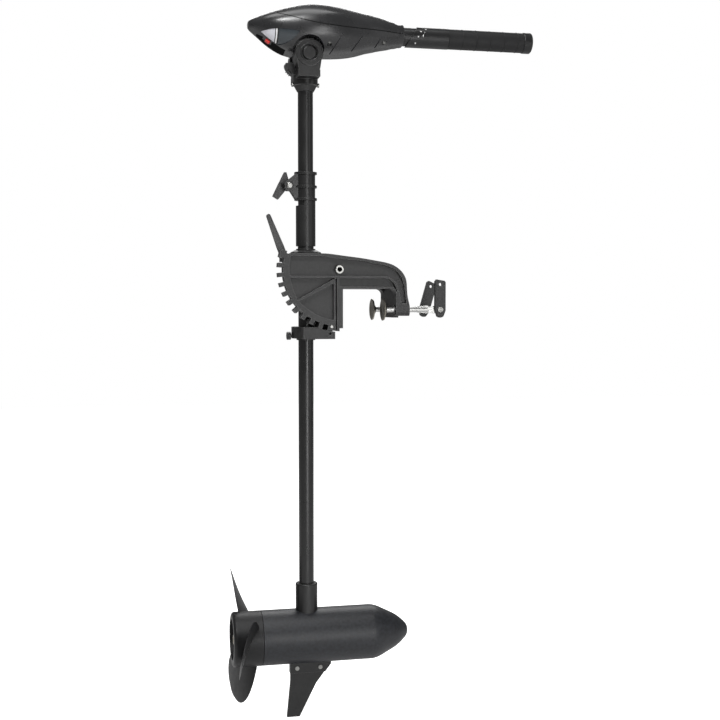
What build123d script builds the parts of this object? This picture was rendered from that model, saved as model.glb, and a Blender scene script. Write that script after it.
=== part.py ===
"""Transom-mounted electric trolling motor.

Frame: origin on the bracket's transom face, midway between the two clamp screws, at their height.
+X points into the boat, along the tiller; +Y is to port; +Z is up. Millimetres.
"""

import os
from math import atan2, cos, degrees, pi, radians, sin, sqrt

from build123d import *

os.makedirs("parts", exist_ok=True)

# ---- general clearances ----
running_gap = 0.05  # radial, shaft in bush
slip_gap = 0.3  # radial, parts that slide past each other
body_gap = 0.5  # between bodies that move apart

# ---- main layout ----
shaft_x = -58.2  # shaft axis behind the transom face
pivot_x = -6.3  # tilt bolt
pivot_z = 73.0
motor_z = -615.0  # motor axis
hinge_z = 464.0  # axis about which the control head tilts
tiller_z = 511.0  # tiller axis

# ---- shaft ----
shaft_dia = 28.0
shaft_wall = 2.0
shaft_top_z = 440.0
shaft_bottom_z = -562.0

# ---- bracket ----
plate_inner = 38.0  # half the clear width between the side plates
plate_thick = 24.0
plate_outer = plate_inner + plate_thick
pocket_depth = 9.0
bracket_top_z = 102.0
flange_thick = 4.5
rib_thick = 3.0
rib_z = 59.5
jaw_z = 38.8
jaw_depth_x = 100.0
arm_outer_x = 126.0
transom_thick = 11.0
transom_bottom_z = -34.0
web_thick = 6.0
stop_angle = -82.0
stop_radius = 108.0

# ---- toothed sector ----
tooth_tip_r = 112.5
tooth_height = 9.5
tooth_root_r = tooth_tip_r - tooth_height
rim_inner_r = tooth_root_r - 10.5
tooth_pitch = 9.4  # degrees
tooth_count = 9
first_tooth = 4.0  # degrees above the -X axis
tooth_width = 7.7
end_lug_angle = 15.0
end_lug_width = 13.5
far_sector_r = 80.0
lock_pin_dia = 7.0
lock_travel = 9.0
lock_angle = first_tooth - (tooth_count - 0.5) * tooth_pitch

# ---- clamp screws ----
screw_y = 50.0
screw_dia = 10.0
boss_dia = 23.5
pad_dia = 41.0
pad_rise = 7.0
pad_thick = 2.2
near_pad_x = 76.5
far_pad_x = 79.0
grip_pivot_from_pad = 108.0
grip_width = 21.0
grip_thick = 6.5
grip_up = 46.5
grip_down = 4.5
grip_hole_dia = 6.0
grip_rivet_dia = 6.0
far_grip_lean = 16.0
insert_flange_dia = 17.0
insert_flange = 2.0

# ---- tilt cradle ----
cradle_half = 36.8
block_bottom_z = -53.5
block_top_z = -32.0
block_left_x = -85.0
block_right_x = -14.5
cone_dia = 57.0
cone_top_z = 110.0
cone_bottom_z = bracket_top_z + 1.0
bush_flange_dia = 36.0
upper_bush_top_z = 117.4
pivot_dia = 12.0
pivot_head_dia = 15.4

# ---- steering sleeve and depth collar ----
sleeve_dia = 36.4
sleeve_bottom_z = 117.7
sleeve_top_z = 202.0
notch_height = 10.0
collar_dia = 35.6
collar_flange_dia = 42.0
collar_top_z = 253.7
collar_bolt_x = -89.2
collar_bolt_z = 228.5
ear_half = 9.0

# ---- control head ----
head_half_width = 60.0
cheek_inner = 20.5
cheek_outer = 46.0
cheek_r = 25.5
tiller_dia = 34.0
tiller_inner_x = 15.0
tiller_sleeve_dia = 38.0
grip_dia = 37.0
end_cap_dia = 39.0

# ---- motor ----
motor_dia = 101.6
motor_wall = 2.5
motor_front_x = 119.0
motor_rear_x = -86.3
hub_rear_x = -141.4
nose_tip_x = 196.0
prop_shaft_dia = 10.0
magnet_thick = 7.0
armature_dia = 78.0
prop_tip_r = 135.0
prop_pitch = 165.0
prop_phase = -34.0
blade_count = 3
blade_rake = 20.0
neck_dia = 41.5
bolt_offset = 43.0
neck_top_z = -514.0
skeg_bottom_z = -769.0
skeg_thick = 7.0

LOW = (Align.CENTER, Align.CENTER, Align.MIN)


def side(y):
    """Vertical working plane at y: local x is X, local y is Z, and it faces -Y."""
    return Plane(origin=(0, y, 0), x_dir=(1, 0, 0), z_dir=(0, -1, 0))


def across(x):
    """Vertical working plane at x: local x is Y, local y is Z, and it faces +X."""
    return Plane(origin=(x, 0, 0), x_dir=(0, 1, 0), z_dir=(1, 0, 0))


def level(z):
    """Horizontal working plane at z, centred on the shaft."""
    return Plane(origin=(shaft_x, 0, z), x_dir=(1, 0, 0), z_dir=(0, 0, 1))


def rod_x(x0, x1, y, z, radius, mode=Mode.ADD):
    with Locations(Location((x0, y, z), (0, 90, 0))):
        Cylinder(radius, x1 - x0, align=LOW, mode=mode)


def rod_y(y0, y1, x, z, radius, mode=Mode.ADD):
    with Locations(Location((x, y0, z), (-90, 0, 0))):
        Cylinder(radius, y1 - y0, align=LOW, mode=mode)


def rod_z(z0, z1, radius, x=shaft_x, y=0, mode=Mode.ADD):
    with Locations((x, y, z0)):
        Cylinder(radius, z1 - z0, align=LOW, mode=mode)


def block(x0, x1, y0, y1, z0, z1, mode=Mode.ADD):
    with Locations(((x0 + x1) / 2, (y0 + y1) / 2, (z0 + z1) / 2)):
        Box(x1 - x0, y1 - y0, z1 - z0, mode=mode)


def around_pivot(radius, angle):
    """Point at an angle above the -X axis, seen from the tilt bolt."""
    a = radians(angle)
    return (pivot_x - radius * cos(a), pivot_z + radius * sin(a))


def save(builder, name):
    builder.part.label = name
    export_step(builder.part, f"parts/{name}.step")


# ======================================================================
# Clamp bracket: two ribbed side plates, transom plate, jaw and end wall
# ======================================================================

top_curve = [(-39, 102), (-4, 98.7), (31.6, 94.4), (69, 88.4), (92, 82.7), (105, 75.0), (114.5, 64.5), (119.5, 50.8)]
arm_curve = [(119.5, 50.8), (120.5, 36), (122.3, 21), (125.7, 6.6)]


def wedge(radius):
    """Corners of a pie slice wider than the sector, from the end lug round to the transom plate."""
    return [
        (pivot_x, pivot_z),
        around_pivot(radius * 2, 16.5),
        around_pivot(radius * 2, -35),
        around_pivot(radius * 2, -90),
    ]


with BuildSketch() as beam_outline:
    with BuildLine():
        Line((pivot_x - 90, bracket_top_z), top_curve[0])
        Spline(*top_curve, tangents=[(1, 0), (0.15, -1)])
        Spline(*arm_curve, tangents=[(0.15, -1), (0.2, -1)])
        Line(arm_curve[-1], (arm_outer_x, -boss_dia / 2))
        Line((arm_outer_x, -boss_dia / 2), (jaw_depth_x, -boss_dia / 2))
        Line((jaw_depth_x, -boss_dia / 2), (jaw_depth_x, jaw_z))
        Line((jaw_depth_x, jaw_z), (0, jaw_z))
        Line((0, jaw_z), (0, transom_bottom_z))
        Line((0, transom_bottom_z), (pivot_x, transom_bottom_z))
        Line((pivot_x, transom_bottom_z), (pivot_x, pivot_z))
        Line((pivot_x, pivot_z), (pivot_x - 90, bracket_top_z - 7))
        Line((pivot_x - 90, bracket_top_z - 7), (pivot_x - 90, bracket_top_z))
    make_face()
    fillet(beam_outline.vertices().filter_by(lambda v: v.X == jaw_depth_x and v.Y > 0), 11)

with BuildSketch() as near_sector:
    with Locations((pivot_x, pivot_z)):
        Circle(tooth_root_r)
    Polygon(*wedge(tooth_root_r), align=None, mode=Mode.INTERSECT)
    with Locations((pivot_x, pivot_z)):
        with PolarLocations(
            tooth_root_r - 2,
            tooth_count,
            start_angle=180 - first_tooth,
            angular_range=tooth_pitch * (tooth_count - 1),
            endpoint=True,
        ):
            Rectangle(tooth_tip_r - tooth_root_r + 2, tooth_width, align=(Align.MIN, Align.CENTER))
        with PolarLocations(tooth_root_r - 2, 1, start_angle=180 - end_lug_angle):
            Rectangle(tooth_tip_r - tooth_root_r + 2, end_lug_width, align=(Align.MIN, Align.CENTER))
    with BuildLine():
        p1 = around_pivot(tooth_root_r - 4, stop_angle + 3.6)
        p2 = around_pivot(tooth_tip_r, stop_angle + 3.6)
        p3 = (pivot_x, pivot_z - tooth_tip_r)
        p4 = (pivot_x, pivot_z - tooth_root_r + 4)
        Polyline(p1, p2, p3, p4, close=True)
    make_face()

with BuildSketch() as far_sector:
    with Locations((pivot_x, pivot_z)):
        Circle(far_sector_r)
    Polygon(*wedge(far_sector_r), align=None, mode=Mode.INTERSECT)


def rim_meets(radius, z):
    """Point of a circle about the tilt bolt at height z, on the aft side."""
    return (pivot_x - sqrt(radius**2 - (z - pivot_z) ** 2), z)


def upper_pocket(rim_r):
    """Recess between the top flange and the long rib, running down the arm."""
    rib_top = rib_z + rib_thick / 2
    top = bracket_top_z - flange_thick
    left_low = rim_meets(rim_r, rib_top)
    left_high = rim_meets(rim_r, top)
    mid = around_pivot(rim_r, 5)
    with BuildSketch(mode=Mode.PRIVATE) as pocket:
        with BuildLine():
            ThreePointArc(left_low, mid, left_high)
            Line(left_high, (-39, top))
            Spline((-39, top), (31.6, 89.9), (68, 84), (100.5, 71), (113.5, 50), (118, 21), (119.5, 11.5))
            Line((119.5, 11.5), (109.5, 11.5))
            Spline((109.5, 11.5), (107, 26), (103, 41), (94, 54.5), (80, rib_top))
            Line((80, rib_top), left_low)
        make_face()
    return pocket.sketch


def lower_pocket():
    """Recess between the long rib and the jaw flange, running down the arm."""
    top = rib_z - rib_thick / 2
    bottom = jaw_z + 3
    with BuildSketch(mode=Mode.PRIVATE) as pocket:
        with BuildLine():
            Line((-7, bottom), (-7, top))
            Line((-7, top), (80, top))
            Spline((80, top), (92, 52), (99.8, 40), (102.2, 33))
            Line((102.2, 33), (100, 33))
            Spline((100, 33), (96.5, 39.2), (90, bottom))
            Line((90, bottom), (-7, bottom))
        make_face()
    return pocket.sketch


def sector_pockets():
    """The two recesses of the toothed sector, either side of the diagonal rib."""
    rib_low = rib_z - rib_thick / 2
    right = -17.0
    slope = (54 - 16) / (-8.6 + 83.0)

    def diagonal(x, shift):
        return (x, 16 + slope * (x + 83.0) + shift)

    upper_left = rim_meets(rim_inner_r, rib_low)
    upper_right = (-8.6 - 4, rib_low)
    cut_left = (-83.8, diagonal(-83.8, 1.8)[1])
    lower_left = (-81.5, diagonal(-81.5, -1.8)[1])
    with BuildSketch(mode=Mode.PRIVATE) as pocket:
        with BuildLine():
            Line(upper_left, upper_right)
            Line(upper_right, cut_left)
            ThreePointArc(cut_left, around_pivot(rim_inner_r, -20), upper_left)
        make_face()
        with BuildLine():
            low_right = (right, pivot_z - sqrt(rim_inner_r**2 - (right - pivot_x) ** 2))
            Line(lower_left, diagonal(right, -1.8))
            Line(diagonal(right, -1.8), low_right)
            ThreePointArc(low_right, around_pivot(rim_inner_r, -60), lower_left)
        make_face()
    return pocket.sketch


with BuildPart() as clamp_bracket:
    with BuildSketch(side(-plate_inner)):
        add(beam_outline.sketch)
        add(near_sector.sketch)
    extrude(amount=plate_thick)
    with BuildSketch(side(plate_outer)):
        add(beam_outline.sketch)
        add(far_sector.sketch)
    extrude(amount=plate_thick)
    fillet([e for e in clamp_bracket.edges().filter_by(Axis.X)
            if abs(e.center().Z + boss_dia / 2) < 0.01 and e.center().X > jaw_depth_x], 8)
    # recesses in the outer faces
    with BuildSketch(side(-plate_outer + pocket_depth)):
        add(upper_pocket(rim_inner_r))
        add(lower_pocket())
        add(sector_pockets())
    extrude(amount=pocket_depth, mode=Mode.SUBTRACT)
    with BuildSketch(side(plate_outer)):
        add(upper_pocket(far_sector_r - 8))
        add(lower_pocket())
    extrude(amount=pocket_depth, mode=Mode.SUBTRACT)
    # relief groove between the sector and the transom plate
    block(-transom_thick - 3, -transom_thick, -plate_outer, -plate_outer + pocket_depth,
          transom_bottom_z - 8, rib_z - 3, mode=Mode.SUBTRACT)
    # transom plate, jaw ceiling and end wall
    block(-transom_thick, 0, -plate_inner, plate_inner, transom_bottom_z, jaw_z + web_thick)
    block(-transom_thick, jaw_depth_x + 4, -plate_inner, plate_inner, jaw_z, jaw_z + web_thick)
    block(jaw_depth_x, jaw_depth_x + 10, -plate_inner, plate_inner, -15, jaw_z + web_thick)
    # domed roof set just below the plates' top edge, forward of the swing of the cradle
    with BuildSketch(side(plate_inner + 1)):
        with BuildLine():
            Spline((56, 88.6), (69, 86.2), (90, 80.5), (102, 73.4), (111.5, 63.5), (116, 50.8))
            Line((116, 50.8), (114, 42))
            Line((114, 42), (101, 42))
            Spline((101, 42), (104, 56), (97, 69), (80, 78), (56, 83))
            Line((56, 83), (56, 88.6))
        make_face()
    extrude(amount=plate_inner * 2 + 2)
    for sy in (-1, 1):
        rod_x(jaw_depth_x - 1, arm_outer_x + 1, sy * screw_y, 0, screw_dia / 2 + 1.2, mode=Mode.SUBTRACT)
    rod_y(-plate_outer - 1, plate_outer + 1, pivot_x, pivot_z, pivot_dia / 2 + running_gap, mode=Mode.SUBTRACT)
    stop_x, stop_z = around_pivot(stop_radius - 3, stop_angle)
    rod_y(-plate_outer - 1, -plate_inner + 1, stop_x, stop_z, 3.0, mode=Mode.SUBTRACT)
save(clamp_bracket, "clamp_bracket")

# Tilt bolt: hollow rivet head on the near side, hexagon nut on the far side
with BuildPart() as pivot_bolt:
    rod_y(-plate_outer, plate_outer + 9, pivot_x, pivot_z, pivot_dia / 2)
    rod_y(-plate_outer - 2.2, -plate_outer, pivot_x, pivot_z, pivot_head_dia / 2)
    rod_y(-plate_outer - 3, -plate_outer + 10, pivot_x, pivot_z, 4.0, mode=Mode.SUBTRACT)
    chamfer(pivot_bolt.edges().filter_by(GeomType.CIRCLE).sort_by(Axis.Y)[0:2], 0.5)
save(pivot_bolt, "pivot_bolt")

with BuildPart() as pivot_nut:
    with BuildSketch(side(plate_outer + 8.5)):
        with Locations((pivot_x, pivot_z)):
            RegularPolygon(11, 6)
            Circle(pivot_dia / 2 + 0.02, mode=Mode.SUBTRACT)
    extrude(amount=7)
    rod_y(plate_outer, plate_outer + 1.5, pivot_x, pivot_z, 12.5)
    rod_y(plate_outer - 1, plate_outer + 2, pivot_x, pivot_z, pivot_dia / 2 + 0.02, mode=Mode.SUBTRACT)
save(pivot_nut, "pivot_nut")

# Stop pin on which the hanging cradle rests
with BuildPart() as stop_pin:
    rod_y(-plate_outer - 1.2, -plate_inner + 20, stop_x, stop_z, 2.98)
    fillet(stop_pin.edges().filter_by(GeomType.CIRCLE), 0.8)
save(stop_pin, "stop_pin")

with BuildPart() as screw_inserts:
    for sy in (-1, 1):
        rod_x(jaw_depth_x, arm_outer_x, sy * screw_y, 0, screw_dia / 2 + 1.2)
        rod_x(jaw_depth_x - insert_flange, jaw_depth_x, sy * screw_y, 0, insert_flange_dia / 2)
        rod_x(jaw_depth_x - 5, arm_outer_x + 1, sy * screw_y, 0, screw_dia / 2 + running_gap, mode=Mode.SUBTRACT)
save(screw_inserts, "screw_inserts")


# ======================================================================
# Clamp screws, pads and folding grips
# ======================================================================


def clamp_screw(name, y, pad_x):
    """Screw with a pilot in the pad and a flattened eye for the grip."""
    back = pad_x + pad_rise
    eye_x = pad_x + grip_pivot_from_pad
    with BuildPart() as screw:
        rod_x(back + 0.3, eye_x - 9, y, 0, screw_dia / 2)
        rod_x(back - 5, back + 1, y, 0, 3.0)
        with BuildSketch(side(y + screw_dia / 2)):
            with BuildLine():
                Polyline((eye_x - 22, -5), (eye_x - 22, 5), (eye_x - 10, 7), (eye_x, 7.5), (eye_x, -7.5),
                         (eye_x - 10, -7), close=True)
            make_face()
            with Locations((eye_x, 0)):
                Circle(7.5)
        extrude(amount=screw_dia)
        rod_y(y - 6, y + 6, eye_x, 0, grip_rivet_dia / 2 + 0.02, mode=Mode.SUBTRACT)
    save(screw, name)


def clamp_pad(name, y, pad_x):
    """Dished pad with a socket behind it for the screw's pilot."""
    with BuildPart() as pad:
        with BuildSketch(Plane(origin=(pad_x, y, 0), x_dir=(1, 0, 0), z_dir=(0, -1, 0))):
            with BuildLine():
                Polyline((0, pad_dia / 2), (pad_thick, pad_dia / 2 - 0.6), (pad_rise - 2, 9.5), (pad_rise, 7.5),
                         (pad_rise, 3.0 + running_gap), (pad_rise - 5.3, 3.0 + running_gap),
                         (pad_rise - 5.3, 0), (0.9, 0), (0.9, 5))
                Spline((0.9, 5), (0.6, 12), (-0.3, pad_dia / 2 - 0.8), (0, pad_dia / 2))
            make_face()
        revolve(axis=Axis((pad_x, y, 0), (1, 0, 0)))
    save(pad, name)


def clamp_grip(name, y, pad_x, lean, outward):
    """Flat paddle riveted to the outer side of the screw's eye."""
    eye_x = pad_x + grip_pivot_from_pad
    face = y + outward * (screw_dia / 2 + body_gap)
    start = face if outward < 0 else face + grip_thick
    plane = Plane(origin=(eye_x, start, 0), x_dir=(1, 0, 0), z_dir=(0, -1, 0)).rotated((0, lean, 0))
    with BuildPart() as grip:
        with BuildSketch(plane):
            with BuildLine():
                w = grip_width / 2
                Line((-w, 0), (-w, grip_up + 6))
                Line((-w, grip_up + 6), (-w + 3, grip_up + 9.5))
                Line((-w + 3, grip_up + 9.5), (w - 2, grip_up + 7))
                Line((w - 2, grip_up + 7), (w, grip_up + 4))
                Line((w, grip_up + 4), (w, -2))
                Line((w, -2), (w - 4, -grip_down - 8))
                ThreePointArc((w - 4, -grip_down - 8), (0, -grip_down - w), (-w + 4, -grip_down - 8))
                Line((-w + 4, -grip_down - 8), (-w, 0))
            make_face()
            with Locations((0, grip_up)):
                Circle(grip_hole_dia / 2, mode=Mode.SUBTRACT)
        extrude(amount=grip_thick)
        fillet(grip.faces().sort_by(Axis.Y)[0 if outward < 0 else -1].outer_wire().edges(), 1.6)
        with Locations(Location((eye_x, face, 0), (90, 0, 0))):
            Cylinder(grip_rivet_dia / 2 + 0.1, 60, mode=Mode.SUBTRACT)
    save(grip, name)


def grip_rivet(name, y, pad_x, outward):
    """Rivet through the eye and the grip."""
    eye_x = pad_x + grip_pivot_from_pad
    outer = y + outward * (screw_dia / 2 + body_gap + grip_thick)
    inner = y - outward * screw_dia / 2
    low, high = sorted((outer, inner))
    with BuildPart() as rivet:
        rod_y(low, high, eye_x, 0, grip_rivet_dia / 2)
        rod_y(high + (0.3 if outward > 0 else 0), high + 1.8, eye_x, 0, 5.0)
        rod_y(low - 1.8, low - (0.3 if outward < 0 else 0), eye_x, 0, 5.0)
        rod_y(low - 0.4, high + 0.4, eye_x, 0, grip_rivet_dia / 2)
    save(rivet, name)


for label, sign, pad_x, lean in (("starboard", -1, near_pad_x, 0.0), ("port", 1, far_pad_x, far_grip_lean)):
    clamp_screw(f"clamp_screw_{label}", sign * screw_y, pad_x)
    clamp_pad(f"clamp_pad_{label}", sign * screw_y, pad_x)
    clamp_grip(f"clamp_grip_{label}", sign * screw_y, pad_x, lean, sign)
    grip_rivet(f"grip_rivet_{label}", sign * screw_y, pad_x, sign)

# ======================================================================
# Tilt cradle
# ======================================================================

bush_r = bush_flange_dia / 2 - 3
ear_x, ear_z = -100.5, 101.5
knob_z = (block_bottom_z + block_top_z) / 2 - 6

with BuildPart() as tilt_cradle:
    # lower block round the shaft
    with BuildSketch(Plane.XY.offset(block_bottom_z)):
        with BuildLine():
            mid_x = block_left_x + 14
            Line((mid_x, cradle_half), (block_right_x, cradle_half))
            Line((block_right_x, cradle_half), (block_right_x, -cradle_half))
            Line((block_right_x, -cradle_half), (mid_x, -cradle_half))
            ThreePointArc((mid_x, -cradle_half), (block_left_x, 0), (mid_x, cradle_half))
        make_face()
    extrude(amount=block_top_z - block_bottom_z)
    # cheeks up to the tilt bolt and on to the upper bearing
    with BuildSketch(side(cradle_half)):
        with BuildLine():
            Polyline((-48, block_top_z - 4), (-80, 84), (-84, 101.5), (-30, 101.5), (-18, 88), (pivot_x, 88),
                     (pivot_x + 2, 60), (block_right_x, 44), (block_right_x, block_top_z - 4), close=True)
        make_face()
        with Locations((pivot_x, pivot_z)):
            Circle(14)
    extrude(amount=9)
    with BuildSketch(side(-cradle_half + 9)):
        with BuildLine():
            Polyline((-48, block_top_z - 4), (-80, 84), (-84, 101.5), (-30, 101.5), (-18, 88), (pivot_x, 88),
                     (pivot_x + 2, 60), (block_right_x, 44), (block_right_x, block_top_z - 4), close=True)
        make_face()
        with Locations((pivot_x, pivot_z)):
            Circle(14)
    extrude(amount=9)
    # upper bearing housing and its cone
    rod_z(84, bracket_top_z - 0.5, 25)
    block(shaft_x - 22, shaft_x + 22, -cradle_half + 4, cradle_half - 4, 84, 101.5)
    with BuildSketch(Plane(origin=(shaft_x, 0, 0), x_dir=(1, 0, 0), z_dir=(0, -1, 0))):
        with BuildLine():
            Polyline((0, 100), (25, 100), (26, cone_bottom_z), (cone_dia / 2, cone_bottom_z + 1.5),
                     (cone_dia / 2, cone_bottom_z + 3), (20.5, cone_top_z), (0, cone_top_z), close=True)
        make_face()
    revolve(axis=Axis((shaft_x, 0, 0), (0, 0, 1)))
    # ear for the tilt lever, on the aft side
    block(ear_x - 6, shaft_x - 10, -9, 9, 88, 101.5)
    rod_y(-9, 9, ear_x, ear_z - 2, 7.5)
    block(ear_x - 9, ear_x + 9, -5.3, 5.3, 89, 112, mode=Mode.SUBTRACT)
    rod_y(-10, 10, ear_x, ear_z, 2.5, mode=Mode.SUBTRACT)
    # foot under the toothed rim, which carries the lock pin
    with BuildSketch(side(-cradle_half + 2)):
        with BuildLine():
            Polyline((block_left_x + 12, block_bottom_z), (block_left_x + 12, block_top_z), (block_right_x, block_top_z),
                     (block_right_x, block_bottom_z), close=True)
        make_face()
        with Locations((pivot_x, pivot_z)):
            Circle(tooth_tip_r + body_gap + 0.3, mode=Mode.SUBTRACT)
    extrude(amount=plate_outer - cradle_half + 2)
    # bores: shaft bushes, tilt bolt, lock pin slot, room for the stop pin
    rod_z(block_bottom_z - 1, cone_top_z + 1, bush_r, mode=Mode.SUBTRACT)
    rod_y(-cradle_half - 1, cradle_half + 1, pivot_x, pivot_z, pivot_dia / 2 + running_gap, mode=Mode.SUBTRACT)
    with BuildSketch(side(cradle_half - 8)):
        with Locations(Location((pivot_x, pivot_z, 0), (0, 0, 180 - lock_angle))):
            with Locations((tooth_tip_r + 4 - lock_travel, 0)):
                SlotCenterToCenter(lock_travel * 2 + 6, lock_pin_dia + 0.2)
    extrude(amount=cradle_half + plate_outer - 8 - 3, mode=Mode.SUBTRACT)
    block(stop_x - 3.0 - slip_gap, stop_x + 20, -plate_inner - 1, -plate_inner + 22,
          stop_z - 3.8, block_top_z + 6, mode=Mode.SUBTRACT)
    rod_y(-plate_outer - 1, -plate_outer + 8, -24.0, -43.5, 2.6, mode=Mode.SUBTRACT)
    rod_x(block_left_x - 1, shaft_x - bush_r + 1, 0, knob_z, 3.0 + running_gap, mode=Mode.SUBTRACT)
save(tilt_cradle, "tilt_cradle")

sleeve_bore = sleeve_dia / 2 - 3
with BuildPart() as lower_bush:
    rod_z(block_bottom_z, block_top_z, bush_r)
    rod_z(block_bottom_z - 3.2, block_bottom_z, bush_flange_dia / 2 - 0.5)
    rod_z(block_bottom_z - 5, block_top_z + 1, shaft_dia / 2 + running_gap, mode=Mode.SUBTRACT)
save(lower_bush, "lower_bush")

with BuildPart() as upper_bush:
    rod_z(84, cone_top_z, bush_r)
    rod_z(cone_top_z, cone_top_z + 2.4, bush_flange_dia / 2)
    rod_z(cone_top_z + 2.4, upper_bush_top_z, bush_flange_dia / 2 - 3.2)
    rod_z(83, upper_bush_top_z + 1, shaft_dia / 2 + running_gap, mode=Mode.SUBTRACT)
save(upper_bush, "upper_bush")

# Lock pin, drawn clear of the teeth; it slides inwards between two teeth to hold a tilt
pin_x, pin_z = around_pivot(tooth_tip_r + body_gap + lock_pin_dia / 2, lock_angle)
with BuildPart() as lock_pin:
    rod_y(-plate_outer + 3.5, cradle_half - 9, pin_x, pin_z, lock_pin_dia / 2)
    chamfer(lock_pin.edges().filter_by(GeomType.CIRCLE), 0.6)
save(lock_pin, "lock_pin")

with BuildPart() as lever_pin:
    rod_y(-9, 9, ear_x, ear_z, 2.48)
save(lever_pin, "lever_pin")

# Tilt lever: tapered blade with a groove down its face
lever_lean = 21.0
with BuildPart() as tilt_lever:
    with BuildSketch(Plane(origin=(ear_x, 5, ear_z), x_dir=(1, 0, 0), z_dir=(0, -1, 0)).rotated((0, -lever_lean, 0))):
        with BuildLine():
            Polyline((-6.5, 0), (-6.5, 16), (-3.6, 76))
            ThreePointArc((-3.6, 76), (0, 79.5), (3.6, 76))
            Polyline((3.6, 76), (6.5, 16), (6.5, 0))
            ThreePointArc((6.5, 0), (0, -6.5), (-6.5, 0))
        make_face()
    extrude(amount=10)
    with BuildSketch(Plane(origin=(ear_x, -3.8, ear_z), x_dir=(1, 0, 0), z_dir=(0, -1, 0)).rotated((0, -lever_lean, 0))):
        with BuildLine():
            Polyline((-3.6, 20), (-1.6, 72), (1.6, 72), (3.6, 20), close=True)
        make_face()
    extrude(amount=4, mode=Mode.SUBTRACT)
    rod_y(-6, 6, ear_x, ear_z, 2.55, mode=Mode.SUBTRACT)
save(tilt_lever, "tilt_lever")

# Steering tension screw with a small knob, let into the aft end of the lower block
with BuildPart() as tension_screw:
    rod_x(block_left_x - 2.5, shaft_x - bush_r - 0.3, 0, knob_z, 3.0)
    with BuildSketch(across(block_left_x - 9.5)):
        with Locations((0, knob_z)):
            RegularPolygon(7.5, 8)
    extrude(amount=7.5)
    fillet(tension_screw.faces().sort_by(Axis.X)[0].edges(), 1.0)
save(tension_screw, "tension_screw")

# ======================================================================
# Steering sleeve, depth collar and its cam lever
# ======================================================================

with BuildPart() as steering_sleeve:
    rod_z(sleeve_bottom_z, sleeve_top_z, sleeve_dia / 2)
    rod_z(sleeve_bottom_z - 1, sleeve_top_z + 1, shaft_dia / 2 + slip_gap, mode=Mode.SUBTRACT)
    block(shaft_x - 30, shaft_x - 5, -30, 30, sleeve_top_z - notch_height, sleeve_top_z + 1, mode=Mode.SUBTRACT)
save(steering_sleeve, "steering_sleeve")

with BuildPart() as depth_collar:
    rod_z(sleeve_top_z, collar_top_z, collar_dia / 2)
    for z in (sleeve_top_z, sleeve_top_z + 23.0, collar_top_z - 4.0):
        rod_z(z, z + 4.0, collar_flange_dia / 2)
    with BuildSketch(side(ear_half)):
        with BuildLine():
            Polyline((shaft_x, collar_top_z - 1), (shaft_x - 17, collar_top_z - 1), (collar_bolt_x - 9, 234),
                     (collar_bolt_x - 9, 224), (collar_bolt_x + 2, 218.5), (shaft_x - 19, sleeve_top_z + 1),
                     (shaft_x, sleeve_top_z + 1), close=True)
        make_face()
    extrude(amount=2 * ear_half)
    rod_z(sleeve_top_z - 1, collar_top_z + 1, shaft_dia / 2 + slip_gap, mode=Mode.SUBTRACT)
    block(collar_bolt_x - 10, shaft_x - 5, -1.2, 1.2, sleeve_top_z - 1, collar_top_z + 1, mode=Mode.SUBTRACT)
    rod_y(-ear_half - 1, ear_half + 1, collar_bolt_x, collar_bolt_z, 2.6, mode=Mode.SUBTRACT)
save(depth_collar, "depth_collar")

wing_y = collar_flange_dia / 2 + 0.6
wing_thick = 6.0
with BuildPart() as collar_bolt:
    rod_y(-ear_half, wing_y + wing_thick, collar_bolt_x, collar_bolt_z, 2.5)
    rod_y(-ear_half - 3.4, -ear_half, collar_bolt_x, collar_bolt_z, 6.4)
    rod_y(ear_half, wing_y - 0.3, collar_bolt_x, collar_bolt_z, 5.5)
    rod_y(wing_y + wing_thick + 0.3, wing_y + wing_thick + 2.6, collar_bolt_x, collar_bolt_z, 4.2)
    rod_y(wing_y, wing_y + wing_thick + 0.4, collar_bolt_x, collar_bolt_z, 2.5)
    fillet(collar_bolt.edges().filter_by(GeomType.CIRCLE).sort_by(Axis.Y)[0], 2.8)
save(collar_bolt, "collar_bolt")

with BuildPart() as collar_lever:
    with BuildSketch(side(wing_y + wing_thick)):
        with BuildLine():
            Polyline((-90.5, 256), (-95, 256), (-117, 211), (-107, 205), (-84, 233), close=True)
        make_face()
        with Locations((collar_bolt_x, collar_bolt_z)):
            Circle(7.5)
    extrude(amount=wing_thick)
    with BuildSketch(side(wing_y + wing_thick)):
        with BuildLine():
            Polyline((-105, 236), (-117, 211), (-107, 205), (-95, 219.5), close=True)
        make_face()
    extrude(amount=wing_thick + 8)
    rod_y(0, wing_y + wing_thick + 2, collar_bolt_x, collar_bolt_z, 2.55, mode=Mode.SUBTRACT)
save(collar_lever, "collar_lever")

# ======================================================================
# Shaft and the yoke on its head
# ======================================================================

with BuildPart() as shaft_tube:
    rod_z(shaft_bottom_z, shaft_top_z, shaft_dia / 2)
    rod_z(shaft_bottom_z - 1, shaft_top_z + 1, shaft_dia / 2 - shaft_wall, mode=Mode.SUBTRACT)
save(shaft_tube, "shaft_tube")

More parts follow.
